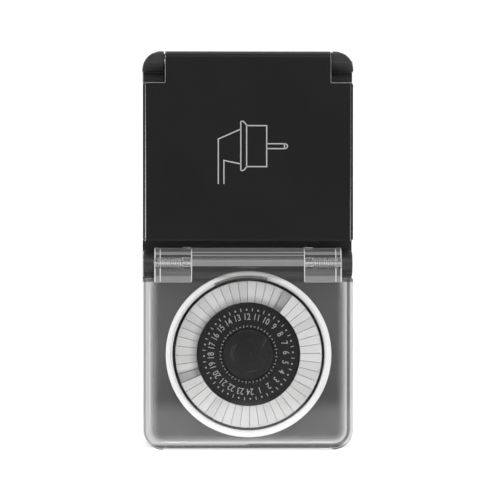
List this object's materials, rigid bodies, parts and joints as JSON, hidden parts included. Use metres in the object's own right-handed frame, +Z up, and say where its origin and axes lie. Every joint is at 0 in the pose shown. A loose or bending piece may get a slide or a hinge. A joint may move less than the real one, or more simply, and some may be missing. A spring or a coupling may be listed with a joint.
{
  "type": "mechanical timer socket",
  "caption": "Outdoor 24-hour plug-in timer socket with a ring of tappets under a clear hinged cover and a socket under a sprung lid.",
  "frame": {"origin": "on the common axis of the rear plug and the front socket, in the rear face of the housing", "axes": "+Y along the plug axis towards the wall socket, +Z up, +X to the right seen from the front"},
  "size_m": [0.075, 0.092, 0.141],
  "materials": {
    "housing_plastic": "fine textured black",
    "lid_plastic": "fine textured black",
    "clear_plastic": "clear",
    "rubber_seal": "matte",
    "steel": "zinc plated",
    "spring_steel": "bright drawn",
    "insert_plastic": "smooth black",
    "brass": "bright",
    "nickel_strip": "nickel plated",
    "nickel_pin": "nickel plated",
    "white_plastic": "satin white",
    "dial_plastic": "satin dark grey",
    "dial_print": "dark grey with a printed 24-hour scale",
    "hub_plastic": "satin dark grey",
    "gear_plastic": "natural nylon",
    "motor_can": "zinc plated",
    "lead_insulation": "smooth insulation",
    "chassis_plastic": "light grey",
    "switch_plastic": "smooth dark grey",
    "plunger_plastic": "smooth red",
    "tappet_plastic": "satin off-white"
  },
  "bodies": {
    "housing": {"rear_housing": "housing_plastic", "front_housing": "housing_plastic", "housing_gasket": "rubber_seal", "housing_screws": "steel", "lid_hinge_pin": "steel", "lid_spring": "spring_steel", "cover_gasket": "rubber_seal", "socket_insert": "insert_plastic", "live_contact": "brass", "neutral_contact": "brass", "earth_strap": "nickel_strip", "plug_core": "insert_plastic", "live_pin": "nickel_pin", "neutral_pin": "nickel_pin", "plug_earth_contact": "nickel_strip", "live_bar": "brass", "switched_bar": "brass", "neutral_bar": "brass", "dial_collar": "white_plastic", "dial_axle": "steel", "dial_retainer": "spring_steel", "gear_shaft": "steel", "motor": "motor_can", "motor_leads": "lead_insulation", "gear_plate": "chassis_plastic", "plate_screws": "steel", "microswitch": "switch_plastic", "lever_pin": "steel", "cover_hinge_pin_right": "steel", "cover_hinge_pin_left": "steel", "cover_spring_right": "spring_steel", "cover_spring_left": "spring_steel"},
    "socket_lid": {"socket_lid": "lid_plastic", "lid_gasket": "rubber_seal"},
    "dial_cover": {"dial_cover": "clear_plastic"},
    "dial": {"dial_carrier": "dial_plastic", "number_disc": "dial_print", "dial_hub": "hub_plastic"},
    "reduction_gear": {"reduction_gear": "gear_plastic"},
    "motor_pinion": {"motor_pinion": "gear_plastic"},
    "switch_lever": {"switch_lever": "spring_steel"},
    "switch_plunger": {"switch_plunger": "plunger_plastic"},
    "tappets_1": {"tappets_1": "tappet_plastic"},
    "tappets_2": {"tappets_2": "tappet_plastic"},
    "tappets_3": {"tappets_3": "tappet_plastic"},
    "tappets_4": {"tappets_4": "tappet_plastic"},
    "tappets_5": {"tappets_5": "tappet_plastic"},
    "tappets_6": {"tappets_6": "tappet_plastic"},
    "tappets_7": {"tappets_7": "tappet_plastic"},
    "tappets_8": {"tappets_8": "tappet_plastic"},
    "tappets_9": {"tappets_9": "tappet_plastic"},
    "tappets_10": {"tappets_10": "tappet_plastic"},
    "tappets_11": {"tappets_11": "tappet_plastic"},
    "tappets_12": {"tappets_12": "tappet_plastic"}
  },
  "joints": [
    {"name": "lid_hinge", "type": "hinge", "parent": "housing", "child": "socket_lid", "pos_m": [0, -0.05, 0.0327], "axis": [-1, 0, 0], "range_deg": [0, 105], "stiffness_Nm_per_rad": 0.02, "springref_deg": -34.38, "deforming": ["lid_spring"]},
    {"name": "cover_hinge", "type": "hinge", "parent": "housing", "child": "dial_cover", "pos_m": [0, -0.05, -0.0387], "axis": [-1, 0, 0], "range_deg": [0, 100], "stiffness_Nm_per_rad": 0.02, "springref_deg": -34.38, "deforming": ["cover_spring_left", "cover_spring_right"]},
    {"name": "dial_turn", "type": "hinge", "parent": "housing", "child": "dial", "pos_m": [0.0003, 0, -0.0708], "axis": [0, 1, 0], "continuous": true},
    {"name": "reduction_turn", "type": "hinge", "parent": "housing", "child": "reduction_gear", "pos_m": [0.0003, 0, -0.0492], "axis": [0, 1, 0], "continuous": true},
    {"name": "pinion_turn", "type": "hinge", "parent": "housing", "child": "motor_pinion", "pos_m": [0.0081, 0, -0.06271], "axis": [0, 1, 0], "continuous": true},
    {"name": "lever_hinge", "type": "hinge", "parent": "housing", "child": "switch_lever", "pos_m": [-0.012, -0.0376, 0], "axis": [0, 0, 1], "range_deg": [-11, 0]},
    {"name": "plunger_slide", "type": "slide", "parent": "housing", "child": "switch_plunger", "axis": [0, 1, 0], "range_m": [-0.0013, 0]},
    {"name": "tappets_1_slide", "type": "slide", "parent": "dial", "child": "tappets_1", "axis": [0, 1, 0], "range_m": [-0.0025, 0]},
    {"name": "tappets_2_slide", "type": "slide", "parent": "dial", "child": "tappets_2", "axis": [0, 1, 0], "range_m": [-0.0025, 0]},
    {"name": "tappets_3_slide", "type": "slide", "parent": "dial", "child": "tappets_3", "axis": [0, 1, 0], "range_m": [-0.0025, 0]},
    {"name": "tappets_4_slide", "type": "slide", "parent": "dial", "child": "tappets_4", "axis": [0, 1, 0], "range_m": [-0.0025, 0]},
    {"name": "tappets_5_slide", "type": "slide", "parent": "dial", "child": "tappets_5", "axis": [0, 1, 0], "range_m": [-0.0025, 0]},
    {"name": "tappets_6_slide", "type": "slide", "parent": "dial", "child": "tappets_6", "axis": [0, 1, 0], "range_m": [0, 0.0025]},
    {"name": "tappets_7_slide", "type": "slide", "parent": "dial", "child": "tappets_7", "axis": [0, 1, 0], "range_m": [0, 0.0025]},
    {"name": "tappets_8_slide", "type": "slide", "parent": "dial", "child": "tappets_8", "axis": [0, 1, 0], "range_m": [0, 0.0025]},
    {"name": "tappets_9_slide", "type": "slide", "parent": "dial", "child": "tappets_9", "axis": [0, 1, 0], "range_m": [0, 0.0025]},
    {"name": "tappets_10_slide", "type": "slide", "parent": "dial", "child": "tappets_10", "axis": [0, 1, 0], "range_m": [0, 0.0025]},
    {"name": "tappets_11_slide", "type": "slide", "parent": "dial", "child": "tappets_11", "axis": [0, 1, 0], "range_m": [0, 0.0025]},
    {"name": "tappets_12_slide", "type": "slide", "parent": "dial", "child": "tappets_12", "axis": [0, 1, 0], "range_m": [0, 0.0025]}
  ],
  "couplings": [
    {"joint": "reduction_turn", "follows": "dial_turn", "ratio": -5},
    {"joint": "pinion_turn", "follows": "dial_turn", "ratio": 16.667},
    {"joint": "plunger_slide", "follows": "lever_hinge", "m_per_rad": 0.0065}
  ]
}
